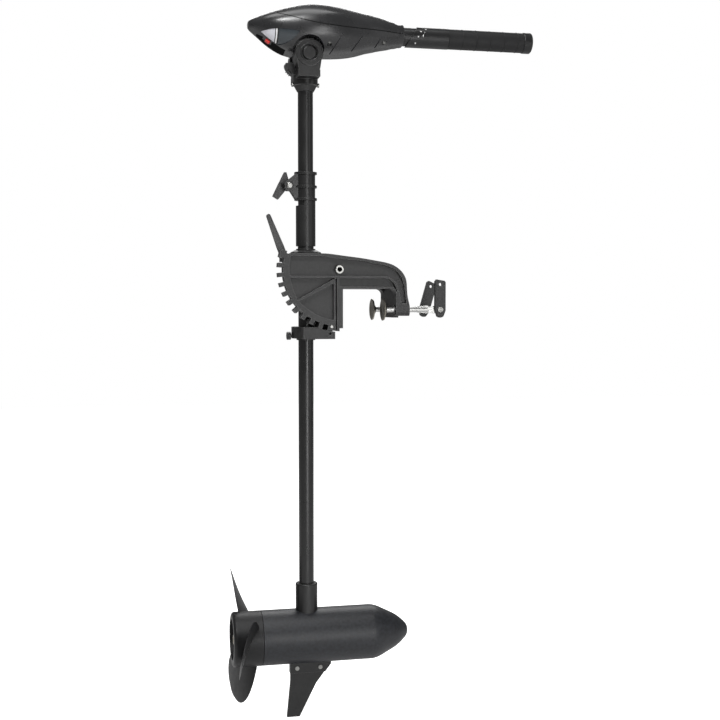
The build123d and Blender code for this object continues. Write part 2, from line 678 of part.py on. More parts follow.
collar_z = 401.5
tab_half = 9.0
tab_plane = Plane(origin=(shaft_x - 30.7, 0, 436), x_dir=(-0.7071, 0, 0.7071), z_dir=(-0.7071, 0, -0.7071))
with BuildPart() as head_yoke:
    with BuildSketch(Plane(origin=(shaft_x, 0, 0), x_dir=(1, 0, 0), z_dir=(0, -1, 0))):
        with BuildLine():
            Line((0, collar_z), (15.5, collar_z))
            Line((15.5, collar_z), (21, collar_z + 10))
            Line((21, collar_z + 10), (23, collar_z + 11))
            Line((23, collar_z + 11), (23, hinge_z - 21))
            Line((23, hinge_z - 21), (0, hinge_z - 21))
            Line((0, hinge_z - 21), (0, collar_z))
        make_face()
    revolve(axis=Axis((shaft_x, 0, 0), (0, 0, 1)))
    for sy in (-1, 1):
        low, high = sorted((sy * cheek_inner, sy * cheek_outer))
        rod_y(low, high, shaft_x, hinge_z, cheek_r)
        with BuildSketch(Plane(origin=(shaft_x, high, hinge_z), x_dir=(1, 0, 0), z_dir=(0, -1, 0))):
            Polygon((-24, 0), (24, 0), (20, -27), (17, -36), (-17, -36), (-20, -27), align=None)
        extrude(amount=high - low)
        block(shaft_x - 20, shaft_x + 20, min(0, high if sy > 0 else low), max(0, high if sy > 0 else low),
              hinge_z - 42, hinge_z - 30)
    rod_z(collar_z - 1, shaft_top_z, shaft_dia / 2, mode=Mode.SUBTRACT)
    rod_z(shaft_top_z - 1, hinge_z, 10, mode=Mode.SUBTRACT)
    block(shaft_x - 40, shaft_x + 40, -cheek_inner, cheek_inner, hinge_z - 23.2, hinge_z + 40, mode=Mode.SUBTRACT)
    rod_y(-60, 60, shaft_x, hinge_z, 8.0, mode=Mode.SUBTRACT)
    # aft block that guides the tilt release tab
    with BuildSketch(side(tab_half + 4)):
        with BuildLine():
            Polyline((shaft_x - 20, 429.5), (shaft_x - 25, 430.5), (shaft_x - 36, 441.5), (shaft_x - 38, 447),
                     (shaft_x - 38, 450.5), (shaft_x - 24, 450.5), (shaft_x - 20, 440), close=True)
        make_face()
    extrude(amount=2 * tab_half + 8)
    with BuildSketch(tab_plane):
        Rectangle(11 + 2 * slip_gap, 2 * tab_half + 2 * slip_gap)
    extrude(amount=12, both=True, mode=Mode.SUBTRACT)
    # dished outer faces round the hinge pin
    for sy in (-1, 1):
        low, high = sorted((sy * (cheek_outer - 4), sy * (cheek_outer + 1)))
        rod_y(low, high, shaft_x, hinge_z, 17.0, mode=Mode.SUBTRACT)
save(head_yoke, "head_yoke")

# Ribbed thumb tab that frees the head to tilt; it presses in against a spring
with BuildPart() as tilt_release:
    with BuildSketch(tab_plane.offset(-7)):
        Rectangle(11, 2 * tab_half)
    extrude(amount=8.5)
    with BuildSketch(tab_plane.offset(1.5)):
        with GridLocations(4.0, 0, 3, 1):
            Rectangle(2.0, 2 * tab_half)
    extrude(amount=1.4)
save(tilt_release, "tilt_release")

with BuildPart() as yoke_screws:
    for sx in (-1, 1):
        low, high = sorted((shaft_x + sx * 23.0, shaft_x + sx * 25.6))
        rod_x(low, high, 0, collar_z + 12.5, 4.0)
save(yoke_screws, "yoke_screws")

# Hinge pin of the control head, with a round button in each end
with BuildPart() as hinge_pin:
    rod_y(-cheek_outer + 1, cheek_outer - 1, shaft_x, hinge_z, 7.95)
    for sy in (-1, 1):
        low, high = sorted((sy * (cheek_outer - 3.9), sy * (cheek_outer + 1)))
        rod_y(low, high, shaft_x, hinge_z, 12.0)
    fillet(hinge_pin.edges().filter_by(GeomType.CIRCLE).sort_by(Axis.Y)[0], 1.5)
    fillet(hinge_pin.edges().filter_by(GeomType.CIRCLE).sort_by(Axis.Y)[-1], 1.5)
save(hinge_pin, "hinge_pin")

# ======================================================================
# Motor housing
# ======================================================================

motor_r = motor_dia / 2
mx = Axis((0, 0, motor_z), (1, 0, 0))
front = shaft_x + motor_front_x
rear = shaft_x + motor_rear_x
tip_x = shaft_x + nose_tip_x
hub_rear = shaft_x + hub_rear_x


def motor_plane():
    return Plane(origin=(0, 0, motor_z), x_dir=(1, 0, 0), z_dir=(0, -1, 0))


with BuildPart() as motor_tube:
    rod_x(rear, front, 0, motor_z, motor_r)
    rod_x(rear - 1, front + 1, 0, motor_z, motor_r - motor_wall, mode=Mode.SUBTRACT)
    rod_z(motor_z + motor_r - 8, motor_z + motor_r + 3, 12.0, mode=Mode.SUBTRACT)
save(motor_tube, "motor_tube")

with BuildPart() as neck_sleeve:
    rod_z(motor_z + 30, neck_top_z, neck_dia / 2)
    fillet(neck_sleeve.edges().filter_by(GeomType.CIRCLE).sort_by(Axis.Z)[-1], 3)
    rod_z(motor_z, neck_top_z + 1, shaft_dia / 2, mode=Mode.SUBTRACT)
    rod_x(rear, front, 0, motor_z, motor_r, mode=Mode.SUBTRACT)
save(neck_sleeve, "neck_sleeve")

with BuildPart() as nose_cone:
    with BuildSketch(motor_plane()):
        with BuildLine():
            Line((front - 12, 0), (front - 12, motor_r - motor_wall - 0.02))
            Line((front - 12, motor_r - motor_wall - 0.02), (front, motor_r - motor_wall - 0.02))
            Line((front, motor_r - motor_wall - 0.02), (front, motor_r))
            Line((front, motor_r), (front + 4, motor_r))
            Spline((front + 4, motor_r), (front + 33, 40.4), (front + 55, 28.7), (front + 69, 17.1), (tip_x, 0),
                   tangents=[(1, -0.08), (0, -1)])
            Line((tip_x, 0), (front - 12, 0))
        make_face()
    revolve(axis=mx)
    rod_x(front - 13, front - 3, 0, motor_z, 11.0, mode=Mode.SUBTRACT)
    for sz in (-1, 1):
        rod_x(front - 13, front + 2, 0, motor_z + sz * bolt_offset, 2.5, mode=Mode.SUBTRACT)
save(nose_cone, "nose_cone")

with BuildPart() as rear_cap:
    rod_x(rear, rear + 14, 0, motor_z, motor_r - motor_wall - 0.02)
    rod_x(rear + 5, rear + 15, 0, motor_z, 11.0, mode=Mode.SUBTRACT)
    rod_x(rear - 1, rear + 5, 0, motor_z, 8.0, mode=Mode.SUBTRACT)
    for sz in (-1, 1):
        rod_x(rear + 3, rear + 15, 0, motor_z + sz * bolt_offset, 2.5, mode=Mode.SUBTRACT)
save(rear_cap, "rear_cap")

with BuildPart() as shaft_bearings:
    for x0 in (rear + 5, front - 12):
        rod_x(x0, x0 + 9, 0, motor_z, 10.98)
        rod_x(x0 - 1, x0 + 10, 0, motor_z, prop_shaft_dia / 2 + running_gap, mode=Mode.SUBTRACT)
save(shaft_bearings, "shaft_bearings")

with BuildPart() as shaft_seal:
    rod_x(rear, rear + 5, 0, motor_z, 7.98)
    rod_x(rear - 1, rear + 6, 0, motor_z, prop_shaft_dia / 2 + running_gap, mode=Mode.SUBTRACT)
save(shaft_seal, "shaft_seal")

magnet_r = motor_r - motor_wall - 0.03
with BuildPart() as field_magnets:
    with BuildSketch(across(shaft_x - 56)):
        with Locations((0, motor_z)):
            Circle(magnet_r)
            Circle(magnet_r - magnet_thick, mode=Mode.SUBTRACT)
            Rectangle(38, 120, mode=Mode.SUBTRACT)
    extrude(amount=108)
save(field_magnets, "field_magnets")

with BuildPart() as brush_plate:
    with BuildSketch(across(front - 26)):
        with Locations((0, motor_z)):
            Circle(magnet_r)
            Circle(21, mode=Mode.SUBTRACT)
    extrude(amount=4)
    for sy in (-1, 1):
        low, high = sorted((sy * 15.6, sy * 34))
        block(front - 38, front - 26, low, high, motor_z - 5, motor_z + 5)
    for sz in (-1, 1):
        rod_x(front - 27, front - 20, 0, motor_z + sz * bolt_offset, 2.5, mode=Mode.SUBTRACT)
save(brush_plate, "brush_plate")

with BuildPart() as prop_shaft:
    rod_x(hub_rear + 6, front - 4, 0, motor_z, prop_shaft_dia / 2)
save(prop_shaft, "prop_shaft")

with BuildPart() as armature:
    with BuildSketch(across(shaft_x - 52)):
        with Locations((0, motor_z)):
            Circle(armature_dia / 2)
            Circle(prop_shaft_dia / 2, mode=Mode.SUBTRACT)
            with PolarLocations(armature_dia / 2 - 5, 12):
                Rectangle(12, 4.5, mode=Mode.SUBTRACT)
    extrude(amount=100)
save(armature, "armature")

with BuildPart() as windings:
    for x0, x1 in ((shaft_x - 64, shaft_x - 52), (shaft_x + 48, shaft_x + 60)):
        rod_x(x0, x1, 0, motor_z, 31)
    rod_x(shaft_x - 65, shaft_x + 61, 0, motor_z, prop_shaft_dia / 2, mode=Mode.SUBTRACT)
    fillet(windings.edges().filter_by(GeomType.CIRCLE).filter_by(lambda e: e.radius > 20), 4)
save(windings, "windings")

with BuildPart() as commutator:
    rod_x(shaft_x + 60, front - 27, 0, motor_z, 15)
    rod_x(shaft_x + 59, front, 0, motor_z, prop_shaft_dia / 2, mode=Mode.SUBTRACT)
save(commutator, "commutator")

with BuildPart() as through_bolts:
    for sz in (-1, 1):
        rod_x(rear + 3, front + 2, 0, motor_z + sz * bolt_offset, 2.48)
save(through_bolts, "through_bolts")

# Skeg: tapered fin under a thicker mounting flange
with BuildPart() as skeg:
    with BuildSketch(side(skeg_thick / 2)):
        with BuildLine():
            Polyline((shaft_x - 31.5, motor_z - motor_r + 6), (shaft_x + 46.5, motor_z - motor_r + 6),
                     (shaft_x + 45, -671), (shaft_x + 17.5, -707), (shaft_x - 14, skeg_bottom_z),
                     (shaft_x - 38, skeg_bottom_z), (shaft_x - 31.5, -700), close=True)
        make_face()
    extrude(amount=skeg_thick)
    with BuildSketch(side(7)):
        with BuildLine():
            Polyline((shaft_x - 32.5, motor_z - motor_r + 6), (shaft_x + 47, motor_z - motor_r + 6),
                     (shaft_x + 45.5, -671), (shaft_x + 34.5, -685), (shaft_x - 32.5, -685), close=True)
        make_face()
    extrude(amount=14)
    rod_x(shaft_x - 60, shaft_x + 60, 0, motor_z, motor_r, mode=Mode.SUBTRACT)
    for dx in (-19.2, 25.0):
        rod_y(-9, 9, shaft_x + dx, -675.5, 2.6, mode=Mode.SUBTRACT)
save(skeg, "skeg")

with BuildPart() as skeg_screws:
    for dx in (-19.2, 25.0):
        rod_y(-7, 7, shaft_x + dx, -675.5, 2.58)
        rod_y(-8.6, -7, shaft_x + dx, -675.5, 4.0)
        rod_y(7, 8.6, shaft_x + dx, -675.5, 4.0)
save(skeg_screws, "skeg_screws")

# ======================================================================
# Propeller
# ======================================================================

stations = [(38, 60, 7.0), (60, 84, 5.6), (88, 102, 4.4), (112, 96, 3.6), (127, 70, 2.8), (prop_tip_r, 30, 2.0)]
hub_mid = (hub_rear + rear) / 2

with BuildPart() as one_blade:
    for radius, chord, thick in stations:
        twist = degrees(atan2(prop_pitch, 2 * pi * radius))
        t = radians(twist)
        root_x = hub_mid - blade_rake * (radius - 50) / (prop_tip_r - 50)
        with BuildSketch(Plane(origin=(root_x, 0, motor_z + radius), x_dir=(sin(t), cos(t), 0), z_dir=(0, 0, 1))):
            with BuildLine():
                ThreePointArc((-chord / 2, 0), (0, thick * 0.8), (chord / 2, 0))
                ThreePointArc((chord / 2, 0), (0, -thick * 0.2), (-chord / 2, 0))
            make_face()
    loft()

with BuildPart() as propeller:
    for n in range(blade_count):
        add(one_blade.part.rotate(mx, prop_phase + n * 360 / blade_count))
    rod_x(hub_rear, rear - 0.8, 0, motor_z, motor_r)
    # open rear face with the nut's seat at its centre
    rod_x(hub_rear - 40, hub_rear + 14, 0, motor_z, motor_r - 13, mode=Mode.SUBTRACT)
    rod_x(hub_rear + 12, hub_rear + 15, 0, motor_z, 13)
    rod_x(hub_rear - 1, rear, 0, motor_z, prop_shaft_dia / 2 + 0.03, mode=Mode.SUBTRACT)
    block(hub_rear + 15, hub_rear + 18.2, -12, 12, motor_z - 1.6, motor_z + 1.6, mode=Mode.SUBTRACT)
    hub_rim = propeller.edges().filter_by(GeomType.CIRCLE).filter_by(lambda e: e.radius > motor_r - 1)
    fillet(hub_rim.sort_by(Axis.X)[0], 6)
save(propeller, "propeller")

with BuildPart() as drive_pin:
    rod_y(-11.5, 11.5, hub_rear + 16.6, motor_z, 1.5)
    rod_x(hub_rear + 10, hub_rear + 22, 0, motor_z, prop_shaft_dia / 2, mode=Mode.SUBTRACT)
save(drive_pin, "drive_pin")

with BuildPart() as prop_nut:
    rod_x(hub_rear + 10.6, hub_rear + 12, 0, motor_z, 11.5)
    with BuildSketch(across(hub_rear + 3)):
        with Locations((0, motor_z)):
            RegularPolygon(9, 6)
    extrude(amount=7.6)
    rod_x(hub_rear + 2, hub_rear + 13, 0, motor_z, prop_shaft_dia / 2 + 0.02, mode=Mode.SUBTRACT)
save(prop_nut, "prop_nut")

# ======================================================================
# Control head
# ======================================================================

head_right = shaft_x + 182.5


def hx(dx):
    return shaft_x + dx


# Cross-sections of the head: distance ahead of the shaft, half width, bottom, widest level and top
head_stations = [
    (-106, 12, 513, 519, 524),
    (-101, 20, 508.5, 517, 528),
    (-92, 29, 502, 515.5, 532),
    (-72, 43, 486.5, 514, 540),
    (-35, 54, 468, 514, 552),
    (10, 60, 465.5, 515, 560.5),
    (55, 57.5, 467, 516, 558),
    (100, 48, 474, 515, 550),
    (140, 37, 484, 512.5, 540),
    (182.5, 23.5, 491, 511, 532),
]


def head_form(inset):
    """Rounded body of the control head, drawn in evenly by the inset."""
    with BuildPart(mode=Mode.PRIVATE) as form:
        for dx, half, bottom, middle, top in head_stations:
            w = half - inset
            low = middle - bottom - inset
            high = top - middle - inset
            right = [(0.6 * w, middle - 0.87 * low), (0.92 * w, middle - 0.5 * low), (w, middle),
                     (0.9 * w, middle + 0.47 * high), (0.55 * w, middle + 0.84 * high)]
            left = [(-y, z) for y, z in reversed(right)]
            with BuildSketch(across(hx(dx))):
                with BuildLine():
                    Spline((0, middle - low), *right, (0, middle + high), *left, periodic=True)
                make_face()
        loft()
    return form.part


def slab(outline, half_depth):
    """Side outline stretched evenly to both sides of the middle."""
    with BuildPart(mode=Mode.PRIVATE) as plate:
        with BuildSketch(side(half_depth)):
            with BuildLine():
                Polyline(*[(hx(dx), z) for dx, z in outline], close=True)
            make_face()
        extrude(amount=2 * half_depth)
    return plate.part


seam_line = [(-112, 563), (-90, 547), (-60, 533), (-19, 521.5), (12, 515), (31, 512.5), (65, 511), (112, 511), (190, 511.5)]
grooves = [((59.3, 499.5), (40.9, 469)), ((96.9, 497.6), (80.2, 474)), ((132.9, 497.2), (125.4, 485))]


recess_depth = 4.0
button_plane = Plane(origin=(hx(-72), -14, 487), x_dir=(-0.815, 0, 0.579), z_dir=(-0.579, 0, -0.815))
screw_places = [(36.8, -46, 481), (142.5, -27.5, 490), (36.8, 46, 481), (142.5, 27.5, 490)]


def leaf():
    """Leaf-shaped window outline in the near side of the head."""
    with BuildSketch(side(-24), mode=Mode.PRIVATE) as window:
        with BuildLine():
            Spline((hx(-89), 501), (hx(-55), 503.5), (hx(-18), 499.5))
            Spline((hx(-18), 499.5), (hx(-30), 486), (hx(-46), 478.5))
            Line((hx(-46), 478.5), (hx(-57), 478.5))
            Line((hx(-57), 478.5), (hx(-89), 501))
        make_face()
    return window.sketch


def gauge_band(shallow):
    """The part of the near wall under the leaf, from a shallow depth down to the recess floor."""
    with BuildPart(mode=Mode.PRIVATE) as band:
        add(extrude(leaf(), amount=90, mode=Mode.PRIVATE))
        add(head_form(shallow), mode=Mode.INTERSECT)
        add(head_form(recess_depth), mode=Mode.SUBTRACT)
    return band.part


with BuildPart() as seam_block:
    with BuildSketch(side(80)):
        with BuildLine():
            Spline(*[(hx(dx), z) for dx, z in seam_line])
            Polyline((hx(190), 511.5), (hx(190), 640), (hx(-112), 640), (hx(-112), 563))
        make_face()
    extrude(amount=160)

with BuildPart() as groove_cuts:
    for (x0, z0), (x1, z1) in grooves:
        add(slab([(x0, z0), (x1, z1), (x1 + 1.6, z1 - 0.8), (x0 + 1.6, z0 - 0.8)], 80))
    add(head_form(1.3), mode=Mode.SUBTRACT)

with BuildPart() as head_housing:
    add(head_form(0))
    add(seam_block.part, mode=Mode.SUBTRACT)
    # tongue between the yoke cheeks, and round recesses over the cheeks
    rod_y(-cheek_inner + slip_gap, cheek_inner - slip_gap, shaft_x, hinge_z, 22.5)
    for sy in (-1, 1):
        low, high = sorted((sy * cheek_inner, sy * 75))
        rod_y(low, high, shaft_x, hinge_z, 30, mode=Mode.SUBTRACT)
    rod_y(-60, 60, shaft_x, hinge_z, 7.95 + running_gap, mode=Mode.SUBTRACT)
    # tiller bore and hollow for the switch
    rod_x(hx(tiller_inner_x - 4), head_right + 1, 0, tiller_z, tiller_dia / 2 + slip_gap, mode=Mode.SUBTRACT)
    block(hx(-50), hx(tiller_inner_x), -22, 22, 490, 530, mode=Mode.SUBTRACT)
    # leaf-shaped gauge recess and slanted grooves in the side walls
    add(gauge_band(-3), mode=Mode.SUBTRACT)
    add(groove_cuts.part, mode=Mode.SUBTRACT)
    # pocket for the test button, and blind holes for the housing screws
    with BuildSketch(button_plane.offset(3)):
        Rectangle(9 + 2 * slip_gap, 12 + 2 * slip_gap)
    extrude(amount=-8.5, mode=Mode.SUBTRACT)
    for x, y, floor in screw_places:
        rod_z(440, floor + 4, 4.3, x=hx(x), y=y, mode=Mode.SUBTRACT)
save(head_housing, "head_housing")

with BuildPart() as head_cover:
    add(head_form(0))
    add(seam_block.part, mode=Mode.INTERSECT)
    rod_x(hx(tiller_inner_x - 4), head_right + 1, 0, tiller_z, tiller_dia / 2 + slip_gap, mode=Mode.SUBTRACT)
    block(hx(-50), hx(tiller_inner_x), -22, 22, 490, 536, mode=Mode.SUBTRACT)
save(head_cover, "head_cover")

# Speed switch inside the head, turned by the tiller
with BuildPart() as speed_switch:
    block(hx(-49), hx(-6), -20, 20, 490.5, 529)
    rod_x(hx(-6), hx(tiller_inner_x - 5), 0, tiller_z + 2, 9)
save(speed_switch, "speed_switch")

with BuildPart() as control_board:
    block(hx(-48), hx(12), -21, 21, 533, 535.7)
save(control_board, "control_board")

# Battery gauge: pale panel aft, a narrow strip, and a dark lens ahead of it
with BuildPart() as gauge_panel:
    add(gauge_band(1.4))
    block(hx(-61.5), hx(0), -80, 0, 460, 520, mode=Mode.SUBTRACT)
save(gauge_panel, "gauge_panel")

with BuildPart() as gauge_strip:
    add(gauge_band(1.0))
    block(hx(-120), hx(-60), -80, 0, 460, 520, mode=Mode.SUBTRACT)
    block(hx(-57.8), hx(0), -80, 0, 460, 520, mode=Mode.SUBTRACT)
save(gauge_strip, "gauge_strip")

with BuildPart() as gauge_lens:
    add(gauge_band(1.4))
    block(hx(-120), hx(-55.5), -80, 0, 460, 520, mode=Mode.SUBTRACT)
save(gauge_lens, "gauge_lens")

with BuildPart() as test_button:
    with BuildSketch(button_plane.offset(2)):
        Rectangle(9, 12)
    extrude(amount=-5)
    fillet(test_button.faces().sort_by(Axis.Z)[0].edges(), 0.8)
save(test_button, "test_button")

with BuildPart() as head_screws:
    for x, y, floor in screw_places:
        rod_z(floor, floor + 4, 4.25, x=hx(x), y=y)
save(head_screws, "head_screws")

# ======================================================================
# Tiller: telescopic tube, speed sleeve, rubber grip and end cap
# ======================================================================

grip_start = hx(271)
grip_end = hx(420.6)
cap_end = hx(438)
with BuildPart() as tiller_tube:
    rod_x(hx(tiller_inner_x), grip_start + 60, 0, tiller_z, tiller_dia / 2)
    rod_x(hx(tiller_inner_x) - 1, grip_start + 61, 0, tiller_z, tiller_dia / 2 - 3, mode=Mode.SUBTRACT)
save(tiller_tube, "tiller_tube")

with BuildPart() as speed_sleeve:
    rod_x(hx(188), grip_start, 0, tiller_z, tiller_sleeve_dia / 2)
    rod_x(hx(180), grip_start + 1, 0, tiller_z, tiller_dia / 2 + running_gap, mode=Mode.SUBTRACT)
    add(slab([(180, 485), (187.5, 489), (213, 533), (180, 540)], 30), mode=Mode.SUBTRACT)
save(speed_sleeve, "speed_sleeve")

with BuildPart() as rubber_grip:
    rod_x(grip_start, grip_end, 0, tiller_z, grip_dia / 2)
    rod_x(grip_start - 1, grip_start + 62, 0, tiller_z, tiller_dia / 2 + running_gap, mode=Mode.SUBTRACT)
save(rubber_grip, "rubber_grip")

with BuildPart() as end_cap:
    rod_x(grip_end, cap_end, 0, tiller_z, end_cap_dia / 2)
    fillet(end_cap.edges().filter_by(GeomType.CIRCLE), 2.5)
save(end_cap, "end_cap")
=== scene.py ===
"""Looks, lights and camera for the transom-mounted trolling motor."""

import math

import bmesh
import bpy
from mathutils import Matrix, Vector
from mathutils.bvhtree import BVHTree


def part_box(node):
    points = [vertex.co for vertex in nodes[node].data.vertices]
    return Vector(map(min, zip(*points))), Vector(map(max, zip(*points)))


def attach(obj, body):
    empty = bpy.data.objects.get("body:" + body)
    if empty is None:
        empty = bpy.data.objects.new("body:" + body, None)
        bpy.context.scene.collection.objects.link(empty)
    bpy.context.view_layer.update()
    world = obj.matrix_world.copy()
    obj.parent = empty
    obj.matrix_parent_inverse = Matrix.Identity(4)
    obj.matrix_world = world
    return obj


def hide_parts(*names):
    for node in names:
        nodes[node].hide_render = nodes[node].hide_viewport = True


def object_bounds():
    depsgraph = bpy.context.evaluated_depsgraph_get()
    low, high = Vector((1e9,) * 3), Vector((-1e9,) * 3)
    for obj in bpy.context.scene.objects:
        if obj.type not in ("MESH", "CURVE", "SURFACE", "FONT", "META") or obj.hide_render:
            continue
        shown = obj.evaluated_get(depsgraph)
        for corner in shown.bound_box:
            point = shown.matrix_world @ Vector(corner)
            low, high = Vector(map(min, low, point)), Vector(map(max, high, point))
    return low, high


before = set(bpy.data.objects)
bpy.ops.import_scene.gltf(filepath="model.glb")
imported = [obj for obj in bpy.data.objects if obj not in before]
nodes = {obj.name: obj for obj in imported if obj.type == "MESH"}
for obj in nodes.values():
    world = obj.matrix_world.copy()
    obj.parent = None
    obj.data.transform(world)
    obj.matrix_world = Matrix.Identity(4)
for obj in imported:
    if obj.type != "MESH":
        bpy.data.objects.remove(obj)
cad_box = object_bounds()

# The tiller points along X, and Z is up. MM turns millimetres into metres.
MM = 0.001
UP = Vector((0, 0, 1))
STARBOARD, PORT = -1, 1


# ---------------------------------------------------------------- shader parts


def new_material(name):
    """Empty node material with its tree, shader and object coordinates."""
    mat = bpy.data.materials.new(name)
    mat.use_nodes = True
    tree = mat.node_tree
    tree.nodes.clear()
    out = tree.nodes.new("ShaderNodeOutputMaterial")
    shader = tree.nodes.new("ShaderNodeBsdfPrincipled")
    tree.links.new(shader.outputs["BSDF"], out.inputs["Surface"])
    coord = tree.nodes.new("ShaderNodeTexCoord")
    return mat, tree, shader, coord.outputs["Object"]


def noise(tree, coord, scale, detail=3.0):
    """Noise of a given number of cells per metre."""
    tex = tree.nodes.new("ShaderNodeTexNoise")
    tex.inputs["Scale"].default_value = scale
    tex.inputs["Detail"].default_value = detail
    tree.links.new(coord, tex.inputs["Vector"])
    return tex.outputs["Fac"]


def ramp(tree, fac, low, high):
    """Colour between two others, over the middle of a 0-1 value."""
    node = tree.nodes.new("ShaderNodeValToRGB")
    first, last = node.color_ramp.elements
    first.position, last.position = 0.3, 0.7
    first.color, last.color = (*low, 1), (*high, 1)
    tree.links.new(fac, node.inputs["Fac"])
    return node.outputs["Color"]


def spread(tree, fac, low, high):
    """Number between two others, over the middle of a 0-1 value."""
    node = tree.nodes.new("ShaderNodeMapRange")
    node.inputs["From Min"].default_value = 0.3
    node.inputs["From Max"].default_value = 0.7
    node.inputs["To Min"].default_value = low
    node.inputs["To Max"].default_value = high
    tree.links.new(fac, node.inputs["Value"])
    return node.outputs["Result"]


def eased_normal(tree, radius, samples):
    """Surface normal with its edges rounded by a radius in millimetres."""
    bevel = tree.nodes.new("ShaderNodeBevel")
    bevel.samples = samples
    bevel.inputs["Radius"].default_value = radius * MM
    return bevel.outputs["Normal"]


def bump(tree, shader, fac, strength, distance):
    """Relief of a height in millimetres, over edges eased by half a millimetre."""
    node = tree.nodes.new("ShaderNodeBump")
    node.inputs["Strength"].default_value = strength
    node.inputs["Distance"].default_value = distance * MM
    tree.links.new(fac, node.inputs["Height"])
    tree.links.new(eased_normal(tree, 0.5, 4), node.inputs["Normal"])
    tree.links.new(node.outputs["Normal"], shader.inputs["Normal"])


def painted_edge_highlight(tree, colour, pale, width):
    """Colour with a painted highlight, paler in a line along sharp edges; width in millimetres."""
    face = tree.nodes.new("ShaderNodeNewGeometry")
    along = tree.nodes.new("ShaderNodeVectorMath")
    along.operation = "DOT_PRODUCT"
    tree.links.new(eased_normal(tree, width, 6), along.inputs[0])
    tree.links.new(face.outputs["Normal"], along.inputs[1])
    edge = tree.nodes.new("ShaderNodeMapRange")
    edge.inputs["From Min"].default_value = 0.99
    edge.inputs["From Max"].default_value = 0.80
    tree.links.new(along.outputs["Value"], edge.inputs["Value"])
    mix = tree.nodes.new("ShaderNodeMix")
    mix.data_type = "RGBA"
    # a mix node's sockets 6 and 7 are its two colours, and its output 2 is the mixed colour
    tree.links.new(edge.outputs["Result"], mix.inputs[0])
    tree.links.new(colour, mix.inputs[6])
    mix.inputs[7].default_value = (*pale, 1)
    return mix.outputs[2]


def grey(level):
    """Neutral colour of one level."""
    return (level, level, level)


def shade(colour, factor):
    """Colour made lighter or darker."""
    return tuple(min(1.0, c * factor) for c in colour)


# ---------------------------------------------------------------- materials


def moulded(
    name, colour, rough, grain=1800.0, depth=0.03, vary=0.18, specular=0.5, cells=22.0, pale=None
):
    """Moulded plastic or powder paint.

    It has a fine grain (cells per metre, depth in millimetres), clouds that vary its colour and
    gloss, and a painted highlight that makes its edges paler by a factor.
    """
    mat, tree, shader, coord = new_material(name)
    cloud = noise(tree, coord, cells, 4.0)
    fine = noise(tree, coord, grain, 2.0)
    tint = ramp(tree, cloud, shade(colour, 1 - vary), shade(colour, 1 + vary))
    # painted highlight: edges turn paler by the factor pale
    if pale:
        tint = painted_edge_highlight(tree, tint, shade(colour, pale), 1.1)
    tree.links.new(tint, shader.inputs["Base Color"])
    gloss = spread(tree, cloud, rough - 0.05, rough + 0.06)
    tree.links.new(gloss, shader.inputs["Roughness"])
    shader.inputs["Specular IOR Level"].default_value = specular
    bump(tree, shader, fine, 0.6, depth)
    return mat


def metal(name, colour, rough):
    """Machined or drawn metal with fine marks and dull patches."""
    mat, tree, shader, coord = new_material(name)
    marks = noise(tree, coord, 900.0, 2.0)
    dull = noise(tree, coord, 90.0, 4.0)
    tint = ramp(tree, dull, shade(colour, 0.88), shade(colour, 1.12))
    tree.links.new(tint, shader.inputs["Base Color"])
    gloss = spread(tree, marks, rough - 0.08, rough + 0.1)
    tree.links.new(gloss, shader.inputs["Roughness"])
    shader.inputs["Metallic"].default_value = 1.0
    bump(tree, shader, marks, 0.25, 0.02)
    return mat


FILLED = dict(grain=420, depth=0.16, vary=0.28, specular=0.35, cells=150)
BLADE = dict(grain=420, depth=0.12, vary=0.3, cells=120)
PRINTED = dict(grain=2500, depth=0.01, vary=0.03)
CAST = dict(grain=260, depth=0.35, vary=0.5, specular=0.45, cells=190)
